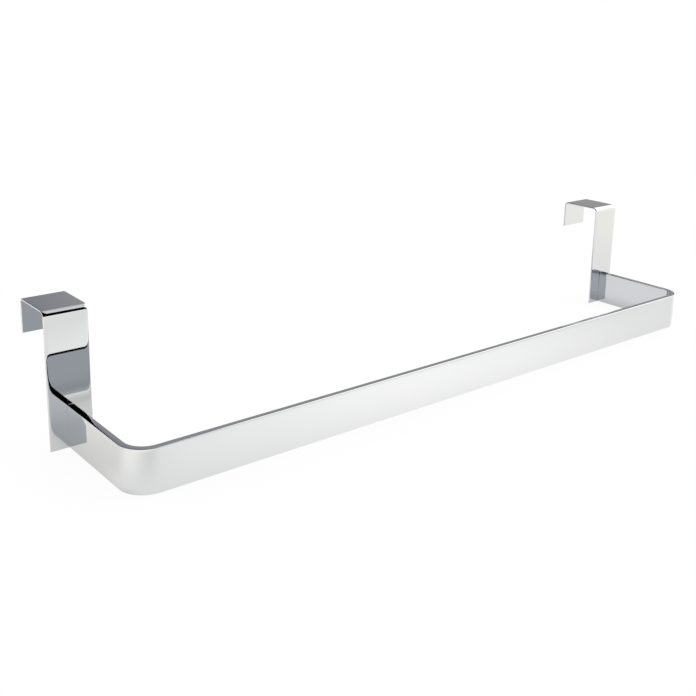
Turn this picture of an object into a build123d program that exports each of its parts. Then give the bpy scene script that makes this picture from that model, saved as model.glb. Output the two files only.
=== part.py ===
"""Over-door towel bar: a flat steel bar bent to a U, butt-welded to two hooks of thin steel strip.

Frame, in millimetres: X runs along the bar, +Y goes back over the door and +Z is up.
The origin is midway between the hooks, where the door's front face meets its top edge.
"""
import os

from build123d import *

# The door that the hooks hang on
DOOR_THICKNESS = 35.0
DOOR_CLEARANCE = 1.0

# Hooks: thin strip bent to an upside-down J
HOOK_SPACING = 551.0
HOOK_WIDTH = 30.0
HOOK_THICKNESS = 1.5
HOOK_BEND_RADIUS = 2.5
HOOK_EDGE_ROUND = 0.5
FRONT_LEG_HEIGHT = 95.5
BACK_LEG_HEIGHT = 24.5

# Bar: flat stock on edge, bent twice
BAR_HEIGHT = 30.0
BAR_THICKNESS = 5.0
BAR_REACH = 90.5
BAR_BEND_RADIUS = 14.0
BAR_EDGE_ROUND = 0.5
BAR_END_BEVEL = 0.3

door_gap = DOOR_THICKNESS + DOOR_CLEARANCE
hook_top = HOOK_THICKNESS
hook_bottom = hook_top - FRONT_LEG_HEIGHT
hook_face = -HOOK_THICKNESS


def hook(centre_x):
    """A hook: front leg down the door's face, flat top, short back leg, all edges eased."""
    back_face = door_gap + HOOK_THICKNESS
    back_bottom = hook_top - BACK_LEG_HEIGHT
    with BuildPart() as strip:
        with BuildSketch(Plane.YZ.offset(centre_x)):
            with BuildLine():
                outside = FilletPolyline(
                    (hook_face, hook_bottom),
                    (hook_face, hook_top),
                    (back_face, hook_top),
                    (back_face, back_bottom),
                    radius=HOOK_BEND_RADIUS + HOOK_THICKNESS,
                )
                inside = FilletPolyline(
                    (door_gap, back_bottom),
                    (door_gap, 0),
                    (0, 0),
                    (0, hook_bottom),
                    radius=HOOK_BEND_RADIUS,
                )
                Line(outside @ 1, inside @ 0)
                Line(inside @ 1, outside @ 0)
            make_face()
        extrude(amount=HOOK_WIDTH / 2, both=True)
        fillet(strip.edges(), HOOK_EDGE_ROUND)
    return strip.part


def towel_bar():
    """The U-bent bar: its arms end square on the front legs, level with their lower ends."""
    arm_outside = HOOK_SPACING / 2 + BAR_THICKNESS / 2
    arm_inside = arm_outside - BAR_THICKNESS
    front_face = hook_face - BAR_REACH
    front_back = front_face + BAR_THICKNESS
    with BuildPart() as bar:
        with BuildSketch(Plane.XY.offset(hook_bottom)):
            with BuildLine():
                outside = FilletPolyline(
                    (-arm_outside, hook_face),
                    (-arm_outside, front_face),
                    (arm_outside, front_face),
                    (arm_outside, hook_face),
                    radius=BAR_BEND_RADIUS + BAR_THICKNESS,
                )
                inside = FilletPolyline(
                    (arm_inside, hook_face),
                    (arm_inside, front_back),
                    (-arm_inside, front_back),
                    (-arm_inside, hook_face),
                    radius=BAR_BEND_RADIUS,
                )
                Line(outside @ 1, inside @ 0)
                Line(inside @ 1, outside @ 0)
            make_face()
        extrude(amount=BAR_HEIGHT)
        ends = bar.faces().filter_by(Axis.Y).group_by(Axis.Y)[-1]
        long_edges = bar.edges().filter_by(Axis.Z, reverse=True) - ends.edges()
        fillet(long_edges, BAR_EDGE_ROUND)
        ends = bar.faces().filter_by(Axis.Y).group_by(Axis.Y)[-1]
        chamfer(ends.edges(), BAR_END_BEVEL)
    return bar.part


os.makedirs("parts", exist_ok=True)
export_step(towel_bar(), "parts/towel_bar.step")
export_step(hook(-HOOK_SPACING / 2), "parts/left_hook.step")
export_step(hook(HOOK_SPACING / 2), "parts/right_hook.step")
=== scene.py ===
import math

import bpy
from mathutils import Matrix, Vector


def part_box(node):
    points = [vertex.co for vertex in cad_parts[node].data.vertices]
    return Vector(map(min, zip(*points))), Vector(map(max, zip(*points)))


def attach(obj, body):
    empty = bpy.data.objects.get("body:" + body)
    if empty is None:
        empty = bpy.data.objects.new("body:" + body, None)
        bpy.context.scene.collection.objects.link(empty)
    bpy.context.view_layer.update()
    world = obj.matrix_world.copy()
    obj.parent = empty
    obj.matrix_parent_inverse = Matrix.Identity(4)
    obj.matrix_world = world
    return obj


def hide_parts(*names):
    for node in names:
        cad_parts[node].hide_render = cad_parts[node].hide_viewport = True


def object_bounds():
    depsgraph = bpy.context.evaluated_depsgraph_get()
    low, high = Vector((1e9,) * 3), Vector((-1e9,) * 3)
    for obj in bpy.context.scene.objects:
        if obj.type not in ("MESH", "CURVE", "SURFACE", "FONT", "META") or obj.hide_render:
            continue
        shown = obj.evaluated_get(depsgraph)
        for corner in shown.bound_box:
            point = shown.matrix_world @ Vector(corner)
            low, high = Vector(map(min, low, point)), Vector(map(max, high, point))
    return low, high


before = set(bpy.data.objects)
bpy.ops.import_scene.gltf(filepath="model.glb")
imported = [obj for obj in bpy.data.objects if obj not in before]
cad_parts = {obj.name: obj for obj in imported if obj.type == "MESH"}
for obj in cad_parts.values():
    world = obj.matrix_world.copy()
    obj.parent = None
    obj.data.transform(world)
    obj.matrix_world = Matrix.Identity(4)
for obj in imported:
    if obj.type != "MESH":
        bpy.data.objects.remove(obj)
cad_low, cad_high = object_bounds()

# Towel bar: one length of flat steel bar, set on edge and bent cold to a U with two wide corners.
# It is buffed to a mirror and chromed. The edges are only ground before plating, so they keep a fine grain.
# The ends of its arms are eased and welded square to the faces of the hooks, which leaves a fine seam.
BAR_THICKNESS = 0.005
BAR_INSIDE_BEND = 0.014
BAR_CROWN = math.radians(3.0)
BAR_ARRIS = [
    (0.006, math.radians(8.0)),
    (0.0003, math.radians(69.0)),
    (0.012, math.radians(6.0)),
    (0.03, math.radians(4.0)),
]
BAR_END_EASE = 0.0005
BAR_END_SUNK = 0.0002
BAR_BEND_STEPS = 40
RUN_STEP = 0.005
EASE_STEPS = 5
ARC_STEPS = 6


def flip(pair, across, through):
    """A point or direction of a strip's section, mirrored."""
    return Vector((pair.x * across, pair.y * through))


def polished_section(width, thickness, crown, arris):
    """Outline of a buffed flat strip and the outward direction at each point. Each edge is crowned, and
    a chain of arcs, given as radius and turn, takes it round the arris and flattens out into the face."""
    turned = crown
    reach = 0.0
    for radius, turn in arris:
        reach += radius * (math.sin(turned + turn) - math.sin(turned))
        turned += turn
    crown_radius = (thickness / 2 - reach) / math.sin(crown)
    quarter = [(Vector((width / 2, 0.0)), Vector((1.0, 0.0)))]
    turned = 0.0
    for radius, turn in [(crown_radius, crown)] + arris:
        corner = quarter[-1][0] - quarter[-1][1] * radius
        for step in range(1, ARC_STEPS + 1):
            lean = turned + turn * step / ARC_STEPS
            outward = Vector((math.cos(lean), math.sin(lean)))
            quarter.append((corner + outward * radius, outward))
        turned += turn
    half = quarter + [(flip(at, -1, 1), flip(out, -1, 1)) for at, out in reversed(quarter)]
    return half + [(flip(at, 1, -1), flip(out, 1, -1)) for at, out in reversed(half[1:-1])]


def rotated(direction, angle):
    """A direction in the plane of the bends, turned anticlockwise."""
    return Matrix.Rotation(angle, 2) @ direction


def straight_run(start, end):
    """Stations along a straight stretch, its last point left to what follows."""
    along = (end - start).normalized()
    pieces = max(1, round((end - start).length / RUN_STEP))
    return [(start.lerp(end, step / pieces), along) for step in range(pieces)]


def bent_line(corners, radius, bend_steps):
    """Middle line of a strip that is bent at its corners: straight runs and arcs, as points that each have
    the direction of travel."""
    stations = []
    here = corners[0]
    for before, corner, after in zip(corners, corners[1:], corners[2:]):
        along_in = (corner - before).normalized()
        along_out = (after - corner).normalized()
        turn = along_in.angle_signed(along_out)
        setback = radius * math.tan(abs(turn) / 2)
        arc_start = corner - along_in * setback
        stations += straight_run(here, arc_start)
        side = rotated(along_in, -math.copysign(math.pi / 2, turn))
        centre = arc_start + side * radius
        for step in range(bend_steps):
            swept = turn * step / bend_steps
            stations.append((centre - rotated(side, -swept) * radius, rotated(along_in, -swept)))
        here = corner + along_out * setback
    stations += straight_run(here, corners[-1])
    stations.append((corners[-1], (corners[-1] - corners[-2]).normalized()))
    return stations


def eased_end(end, along, inward, ease, leans):
    """Rows that round over an end of a strip: place, direction of travel, how far the outline is drawn in,
    and how far its faces lean to the end."""
    rows = []
    for lean in leans:
        setback = ease * (1 - math.sin(abs(lean)))
        inset = ease * (1 - math.cos(lean))
        rows.append((end + inward * setback, along, inset, lean))
    return rows


def bent_strip(name, line, section, end_ease, place):
    """A mesh of the section carried along the bent line, with eased ends. place turns a point of the bending
    plane and a distance across the strip into a point of the object."""
    first_point, first_along = line[0]
    last_point, last_along = line[-1]
    leans = [math.pi / 2 * step / EASE_STEPS for step in range(EASE_STEPS + 1)]
    rows = eased_end(first_point, first_along, first_along, end_ease, [-lean for lean in reversed(leans)])
    rows += [(point, along, 0.0, 0.0) for point, along in line[1:-1]]
    rows += eased_end(last_point, last_along, -last_along, end_ease, leans)
    verts = []
    normals = []
    for point, along, inset, lean in rows:
        outside = rotated(along, math.pi / 2)
        for offset, outward in section:
            across = offset.x - math.copysign(inset, offset.x)
            through = offset.y - math.copysign(inset, offset.y) if offset.y else 0.0
            verts.append(place(point + outside * through, across))
            flat = outside * outward.y * math.cos(lean) + along * math.sin(lean)
            normals.append(place(flat, outward.x * math.cos(lean)))
    count = len(section)
    faces = []
    for row in range(len(rows) - 1):
        here = row * count
        ahead = here + count
        for column in range(count):
            beside = (column + 1) % count
            faces.append((here + column, ahead + column, ahead + beside, here + beside))
    last_row = (len(rows) - 1) * count
    faces.append(tuple(range(count)))
    faces.append(tuple(last_row + column for column in reversed(range(count))))
    mesh = bpy.data.meshes.new(name)
    mesh.from_pydata(verts, [], faces)
    mesh.shade_smooth()
    mesh.normals_split_custom_set_from_vertices(normals)
    strip = bpy.data.objects.new(name, mesh)
    bpy.context.scene.collection.objects.link(strip)
    return strip


class Wire:
    """An output of a shader node: sums, differences and products of it become Math nodes."""

    def __init__(self, tree, socket=None):
        self.tree = tree
        self.socket = socket

    def node(self, kind, settings, inputs, output=0):
        """Any node: its settings first, then values or wires for its sockets."""
        made = self.tree.nodes.new(kind)
        for setting, value in settings.items():
            setattr(made, setting, value)
        for socket, value in inputs.items():
            if isinstance(value, Wire):
                self.tree.links.new(value.socket, made.inputs[socket])
            else:
                made.inputs[socket].default_value = value
        return Wire(self.tree, made.outputs[output] if made.outputs else None)

    def pick(self, output):
        """Another output of the same node."""
        return Wire(self.tree, self.socket.node.outputs[output])

    def math(self, operation, first, second=0.0):
        """A Math node on one value or two."""
        return self.node("ShaderNodeMath", {"operation": operation}, {0: first, 1: second})

    def vector(self, operation, other, output):
        """A Vector Math node on this vector and another."""
        return self.node("ShaderNodeVectorMath", {"operation": operation}, {0: self, 1: other}, output)

    def noise(self, scale, detail):
        """Noise over this place."""
        return self.node("ShaderNodeTexNoise", {}, {"Vector": self, "Scale": scale, "Detail": detail})

    def step(self, low, high):
        """0 below low, 1 above high, and a smooth climb between them."""
        return self.node(
            "ShaderNodeMapRange",
            {"interpolation_type": "SMOOTHSTEP"},
            {"Value": self, "From Min": low, "From Max": high},
        )

    def blend(self, first, second):
        """The first colour where this value is 0, and the second where it is 1."""
        return self.node(
            "ShaderNodeMix",
            {"data_type": "RGBA"},
            {"Factor": self, "A": first, "B": second},
            "Result",
        )

    def __abs__(self):
        return self.math("ABSOLUTE", self)

    def __add__(self, other):
        return self.math("ADD", self, other)

    __radd__ = __add__

    def __sub__(self, other):
        return self.math("SUBTRACT", self, other)

    def __rsub__(self, other):
        return self.math("SUBTRACT", other, self)

    def __mul__(self, other):
        return self.math("MULTIPLY", self, other)

    __rmul__ = __mul__


CHROME = (0.51, 0.537, 0.578, 1.0)
CHROME_HAZED = (0.487, 0.516, 0.56, 1.0)
HAZE_SCALE = 14.0
HAZE_DETAIL = 3.0
RIPPLE_SCALE = 60.0
RIPPLE_DETAIL = 1.0
RIPPLE_HEIGHT = 1.5e-6
GRAIN_SCALE = 1600.0
GRAIN_DETAIL = 2.0
GRAIN_HEIGHT = 1.2e-6
GRAIN_ROUGHNESS = 0.035
POLISH_SCALE = 6.0
POLISH_STRETCH = 150.0
POLISH_DETAIL = 2.0
POLISH_LINES_ROUGHNESS = 0.012
POLISHED_ROUGHNESS = 0.012
BUMP_DISTANCE = 1.0
GROUND_FROM = 0.90
GROUND_FULL = 0.99


def chrome_plate(name, polish_stretch, ground_axis):
    """Mirror chrome with faint polishing lines along the strip, and a fine grain on the edges that face
    ground_axis."""
    finish = bpy.data.materials.new(name)
    finish.use_nodes = True
    finish.node_tree.nodes.clear()
    start = Wire(finish.node_tree)
    place = start.node("ShaderNodeTexCoord", {}, {}, "Object")
    haze = place.noise(HAZE_SCALE, HAZE_DETAIL)
    ripple = place.noise(RIPPLE_SCALE, RIPPLE_DETAIL)
    grain = place.noise(GRAIN_SCALE, GRAIN_DETAIL)
    lines = place.vector("MULTIPLY", polish_stretch, "Vector").noise(POLISH_SCALE, POLISH_DETAIL)
    facing = start.node("ShaderNodeNewGeometry", {}, {}, "Normal")
    towards = start.node("ShaderNodeSeparateXYZ", {}, {0: facing}, ground_axis)
    ground = (towards * towards).step(GROUND_FROM ** 2, GROUND_FULL ** 2)
    tone = haze.blend(CHROME, CHROME_HAZED)
    roughness = POLISHED_ROUGHNESS + lines * POLISH_LINES_ROUGHNESS + ground * GRAIN_ROUGHNESS
    height = ripple * RIPPLE_HEIGHT + grain * ground * GRAIN_HEIGHT
    relief = start.node("ShaderNodeBump", {}, {"Height": height, "Distance": BUMP_DISTANCE})
    shader = start.node(
        "ShaderNodeBsdfPrincipled",
        {},
        {"Base Color": tone, "Metallic": 1.0, "Roughness": roughness, "Normal": relief},
    )
    start.node("ShaderNodeOutputMaterial", {}, {"Surface": shader})
    return finish


bar_low, bar_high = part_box("towel_bar")
bar_height = bar_high.z - bar_low.z
bar_level = (bar_high.z + bar_low.z) / 2
bar_front = bar_low.y + BAR_THICKNESS / 2
arm_end = bar_high.y + BAR_END_SUNK
arm_right = bar_high.x - BAR_THICKNESS / 2
arm_left = bar_low.x + BAR_THICKNESS / 2
bar_corners = [
    Vector((arm_right, arm_end)),
    Vector((arm_right, bar_front)),
    Vector((arm_left, bar_front)),
    Vector((arm_left, arm_end)),
]
towel_bar = bent_strip(
    "towel_bar_polished",
    bent_line(bar_corners, BAR_INSIDE_BEND + BAR_THICKNESS / 2, BAR_BEND_STEPS),
    polished_section(bar_height, BAR_THICKNESS, BAR_CROWN, BAR_ARRIS),
    BAR_END_EASE,
    lambda point, across: Vector((point.x, point.y, across)),
)
for vertex in towel_bar.data.vertices:
    vertex.co.z += bar_level
towel_bar.data.materials.append(chrome_plate("bar_chrome", (1.0, 1.0, POLISH_STRETCH), "Z"))
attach(towel_bar, "root")
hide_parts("towel_bar")

# Hooks: two lengths of thin steel strip with rolled edges, each bent twice over a bar to an upside-down J.
# The long leg, slightly hollow, lies on the door's face and the short one behind it. They are buffed and
# chromed after welding, so the faces stay flat in the middle and fall away a little towards their edges.
HOOK_THICKNESS = 0.0015
HOOK_INSIDE_BEND = 0.0025
HOOK_CROWN = math.radians(20.0)
HOOK_ARRIS = [
    (0.00045, math.radians(55.0)),
    (0.002, math.radians(9.5)),
    (0.015, math.radians(4.0)),
    (0.06, math.radians(1.5)),
]
HOOK_END_EASE = 0.0004
HOOK_BEND_STEPS = 20
HOLLOW_DEPTH = 0.00033
UPRIGHT = 0.999
BACK_LEG_END = -0.023


def hollowed(line, start, end, depth):
    """The line with its upright run sunk a little in the middle, between two heights."""
    sunk_line = []
    for point, along in line:
        share = (point.y - start) / (end - start)
        if 0.0 < share < 1.0 and along.y > UPRIGHT:
            sunk = depth * (1 - math.cos(math.tau * share)) / 2
            slope = depth * math.pi / (end - start) * math.sin(math.tau * share)
            sunk_line.append((point + Vector((sunk, 0.0)), Vector((slope, 1.0)).normalized()))
        else:
            sunk_line.append((point, along))
    return sunk_line


hook_chrome = chrome_plate("hook_chrome", (POLISH_STRETCH, 1.0, 1.0), "X")
for node in ("left_hook", "right_hook"):
    hook_low, hook_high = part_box(node)
    middle = (hook_low.x + hook_high.x) / 2
    front_leg = hook_low.y + HOOK_THICKNESS / 2
    back_leg = hook_high.y - HOOK_THICKNESS / 2
    top = hook_high.z - HOOK_THICKNESS / 2
    hook_corners = [
        Vector((front_leg, hook_low.z)),
        Vector((front_leg, top)),
        Vector((back_leg, top)),
        Vector((back_leg, BACK_LEG_END)),
    ]
    bend = HOOK_INSIDE_BEND + HOOK_THICKNESS / 2
    hook_line = bent_line(hook_corners, bend, HOOK_BEND_STEPS)
    hook = bent_strip(
        node + "_polished",
        hollowed(hook_line, hook_low.z, top - bend, HOLLOW_DEPTH),
        polished_section(hook_high.x - hook_low.x, HOOK_THICKNESS, HOOK_CROWN, HOOK_ARRIS),
        HOOK_END_EASE,
        lambda point, across: Vector((across, point.x, point.y)),
    )
    for vertex in hook.data.vertices:
        vertex.co.x += middle
    hook.data.materials.append(hook_chrome)
    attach(hook, "root")
    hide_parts(node)

# Floor: a plain pale table that the rail stands on, matt and evenly white to the eye, with a soft shadow.
# The plate mirrors its light and shade: a streak before the bar, a rise to the left, a dim patch before the
# left corner, and the shade between the arms and beside the left one, deepest along the foot of the bar.
FLOOR_HALF = 30.0
FLOOR_PAINT = (0.9, 0.9, 0.9, 1.0)
WHITE = (1.0, 1.0, 1.0, 1.0)
BLACK = (0.0, 0.0, 0.0, 1.0)
WHITE_SEEN = 0.94
WHITE_MIRRORED = 0.85
FAR_FLOOR = (0.30, 0.62)
FAR_GLOW = (1.59, 1.50, 1.345, 1.0)
FLOOR_GLOW = (1.46, 1.40, 1.28, 1.0)
STREAK_GLOW = (1.93, 1.835, 1.68, 1.0)
STREAK_PLACE = (0.0, -0.27, 0.0)
STREAK_SQUEEZE = (0.7, 2.0, 0.0)
STREAK_REACH = 0.26
LEFT_GLOW = (1.76, 1.66, 1.49, 1.0)
LEFT_RISE = (-0.34, -0.275)
DIM_PLACE = (-0.285, -0.155, cad_low.z)
DIM_REACH = 0.075
DIM_SHADE = 0.15
SHADED_LEFT = (1.18, 1.13, 1.04, 1.0)
SHADED_RIGHT = (1.30, 1.25, 1.18, 1.0)
SHADED_SPAN = (-0.2, 0.25)
LEFT_ARM_SPAN = (-0.285, -0.270)
PAST_RIGHT_ARM = (0.29, 0.34)
BEHIND_BAR = (-0.092, -0.075)
OUTSIDE_SPAN = (-0.075, -0.03)
OUTSIDE_SHADE = 0.55
CONTACT_REACH = 0.035
CONTACT_SHADE = 0.18

floor_mesh = bpy.data.meshes.new("floor")
floor_mesh.from_pydata(
    [
        (-FLOOR_HALF, -FLOOR_HALF, cad_low.z),
        (FLOOR_HALF, -FLOOR_HALF, cad_low.z),
        (FLOOR_HALF, FLOOR_HALF, cad_low.z),
        (-FLOOR_HALF, FLOOR_HALF, cad_low.z),
    ],
    [],
    [(0, 1, 2, 3)],
)
floor = bpy.data.objects.new("floor", floor_mesh)
bpy.context.scene.collection.objects.link(floor)
floor_finish = bpy.data.materials.new("floor_white")
floor_finish.use_nodes = True
floor_finish.node_tree.nodes.clear()
start = Wire(floor_finish.node_tree)
place = start.node("ShaderNodeTexCoord", {}, {}, "Object")
along_bar = start.node("ShaderNodeSeparateXYZ", {}, {0: place}, "X")
backward = along_bar.pick("Y")
far = start.node("ShaderNodeVectorMath", {"operation": "LENGTH"}, {0: place}, "Value").step(*FAR_FLOOR)

from_streak = place.vector("MULTIPLY", STREAK_SQUEEZE, "Vector").vector("DISTANCE", STREAK_PLACE, "Value")
from_dim = place.vector("DISTANCE", DIM_PLACE, "Value")
open_floor = from_streak.step(0.0, STREAK_REACH).blend(STREAK_GLOW, FLOOR_GLOW)
open_floor = along_bar.step(*LEFT_RISE).blend(LEFT_GLOW, open_floor)
open_floor = ((1 - from_dim.step(0.0, DIM_REACH)) * DIM_SHADE).blend(open_floor, BLACK)

from_arm = abs(abs(along_bar) - arm_right) - BAR_THICKNESS / 2
from_span = backward - (bar_low.y + BAR_THICKNESS)
from_bar = from_span.math("MINIMUM", from_span, from_arm)
contact = 1 - from_bar.step(0.0, CONTACT_REACH)
shaded_floor = along_bar.step(*SHADED_SPAN).blend(SHADED_LEFT, SHADED_RIGHT)
shaded_floor = (contact * CONTACT_SHADE).blend(shaded_floor, BLACK)

between_arms = along_bar.step(*LEFT_ARM_SPAN)
shade_inside = between_arms * backward.step(*BEHIND_BAR)
shade_outside = (1 - between_arms) * backward.step(*OUTSIDE_SPAN) * OUTSIDE_SHADE
shade = (1 - along_bar.step(*PAST_RIGHT_ARM)) * (shade_inside + shade_outside)
tone = far.blend(shade.blend(open_floor, shaded_floor), FAR_GLOW)

seen = start.node("ShaderNodeLightPath", {}, {}, "Is Camera Ray")
mirrored = seen.pick("Is Glossy Ray") + seen.pick("Is Transmission Ray")
paint = start.node("ShaderNodeBsdfDiffuse", {}, {"Color": FLOOR_PAINT})
to_eye = start.node("ShaderNodeEmission", {}, {"Color": WHITE})
to_plate = start.node("ShaderNodeEmission", {}, {"Color": tone})
glow = start.node("ShaderNodeMixShader", {}, {0: mirrored, 1: to_eye, 2: to_plate})
glow_share = (seen * WHITE_SEEN + mirrored * WHITE_MIRRORED) * (1 - far) + far
lit_paint = start.node("ShaderNodeMixShader", {}, {0: glow_share, 1: paint, 2: glow})
start.node("ShaderNodeOutputMaterial", {}, {"Surface": lit_paint})
floor_mesh.materials.append(floor_finish)

# Studio: white to the eye. The plate mirrors a dark room instead, with a great soft box over the right side,
# its wash of light on the ceiling, an unlit grey wall behind, and a narrow black flag in front on the right.
# A wide lamp above the right end gives the floor its light and the soft shadow.
WALL_LEFT = (0.35, 0.347, 0.372, 1.0)
WALL_RIGHT = (0.445, 0.43, 0.43, 1.0)
WALL_SPAN = (0.325, 0.385)
CEILING = (1.15, 1.12, 1.1, 1.0)
CEILING_SPAN = (-0.2, 1.1)
SOFT_BOX = (2.2, 2.1, 1.95, 1.0)
BOX_LEAN = (0.0, -1.18, 1.0)
BOX_EDGE = (-0.16, -0.06)
BOX_END_LEAN = (1.0, -0.04, 0.0)
BOX_END = (0.43, 0.47)
LIT_LEAN = (0.930, 0.2965, -0.2157)
LIT_EDGE = (-0.045, -0.02)
DARK_FRONT_LEAN = (1.0, 1.42, 0.0)
DARK_FRONT_EDGE = (0.01, 0.04)
DARK_TOP_LEAN = (3.0, 1.0, 1.0)
DARK_TOP_EDGE = (1.11, 1.17)
FLAG_LEAN = (1.0, 1.42, 0.33)
FLAG_NEAR = (0.015, 0.03)
FLAG_FAR = (0.07, 0.085)
FLAG_SIDE = (0.6, 0.68)
FLAG_LOW = (0.03, 0.08)
FLAG_HIGH = (0.50, 0.57)
LAMP_PLACE = Vector((0.9, -0.5, 0.9))
LAMP_AIM = Vector((0.0, -0.05, -0.09))
LAMP_SIZE = 0.8
LAMP_POWER = 5.0

room = bpy.data.worlds.new("studio")
bpy.context.scene.world = room
room.use_nodes = True
room.node_tree.nodes.clear()
start = Wire(room.node_tree)
towards = start.node("ShaderNodeTexCoord", {}, {}, "Generated")
right = start.node("ShaderNodeSeparateXYZ", {}, {0: towards}, "X")
up = right.pick("Z")

overhead = towards.vector("DOT_PRODUCT", BOX_LEAN, "Value")
past_end = towards.vector("DOT_PRODUCT", BOX_END_LEAN, "Value")
in_box = overhead.step(*BOX_EDGE) * past_end.step(*BOX_END)
wall = right.step(*WALL_SPAN).blend(WALL_LEFT, WALL_RIGHT)
wall = overhead.step(*CEILING_SPAN).blend(wall, CEILING)

flag_across = towards.vector("DOT_PRODUCT", FLAG_LEAN, "Value")
flag_width = flag_across.step(*FLAG_NEAR) * (1 - flag_across.step(*FLAG_FAR))
flag_height = up.step(*FLAG_LOW) * (1 - up.step(*FLAG_HIGH))
flag = right.step(*FLAG_SIDE) * flag_width * flag_height
past_front = towards.vector("DOT_PRODUCT", DARK_FRONT_LEAN, "Value").step(*DARK_FRONT_EDGE)
past_top = towards.vector("DOT_PRODUCT", DARK_TOP_LEAN, "Value").step(*DARK_TOP_EDGE)
dark_front = (1 - past_front) * (1 - past_top * (1 - flag))
lit_side = towards.vector("DOT_PRODUCT", LIT_LEAN, "Value").step(*LIT_EDGE)

unlit = start.node("ShaderNodeBackground", {}, {"Color": BLACK})
grey = start.node("ShaderNodeBackground", {}, {"Color": wall})
bright = start.node("ShaderNodeBackground", {}, {"Color": SOFT_BOX})
white = start.node("ShaderNodeBackground", {}, {"Color": WHITE})
lit_room = start.node("ShaderNodeMixShader", {}, {0: in_box, 1: grey, 2: bright})
dark_room = start.node("ShaderNodeMixShader", {}, {0: lit_side * (1 - dark_front), 1: unlit, 2: lit_room})
ray = start.node("ShaderNodeLightPath", {}, {}, "Is Glossy Ray")
mirrored = ray + ray.pick("Is Transmission Ray")
shown = start.node("ShaderNodeMixShader", {}, {0: mirrored, 1: white, 2: dark_room})
start.node("ShaderNodeOutputWorld", {}, {"Surface": shown})

lamp_data = bpy.data.lights.new("soft_lamp", "AREA")
lamp_data.shape = "DISK"
lamp_data.size = LAMP_SIZE
lamp_data.energy = LAMP_POWER
lamp = bpy.data.objects.new("soft_lamp", lamp_data)
lamp.location = LAMP_PLACE
lamp.rotation_euler = (LAMP_AIM - LAMP_PLACE).to_track_quat("-Z", "Y").to_euler()
lamp.visible_glossy = False
lamp.visible_camera = False
bpy.context.scene.collection.objects.link(lamp)

# Camera: to the left of the rail and a little above it, looking down, with a slight tilt to the side.
# The lens is shifted down so that the rail sits low in a square picture.
CAMERA_PLACE = Vector((-0.51274, -0.58051, 0.19696))
CAMERA_HEADING = math.radians(38.85)
CAMERA_DOWN = math.radians(13.877)
CAMERA_ROLL = math.radians(0.978)
LENS = 51.32
SENSOR = 36.0
LENS_SHIFT = -0.1548

camera_data = bpy.data.cameras.new("camera")
camera_data.lens = LENS
camera_data.sensor_width = SENSOR
camera_data.shift_y = LENS_SHIFT
camera = bpy.data.objects.new("camera", camera_data)
turned = Matrix.Rotation(-CAMERA_HEADING, 4, "Z")
tipped = Matrix.Rotation(math.pi / 2 - CAMERA_DOWN, 4, "X")
rolled = Matrix.Rotation(CAMERA_ROLL, 4, "Z")
camera.matrix_world = Matrix.Translation(CAMERA_PLACE) @ turned @ tipped @ rolled
bpy.context.scene.collection.objects.link(camera)
bpy.context.scene.camera = camera
bpy.context.scene.view_settings.view_transform = "Standard"
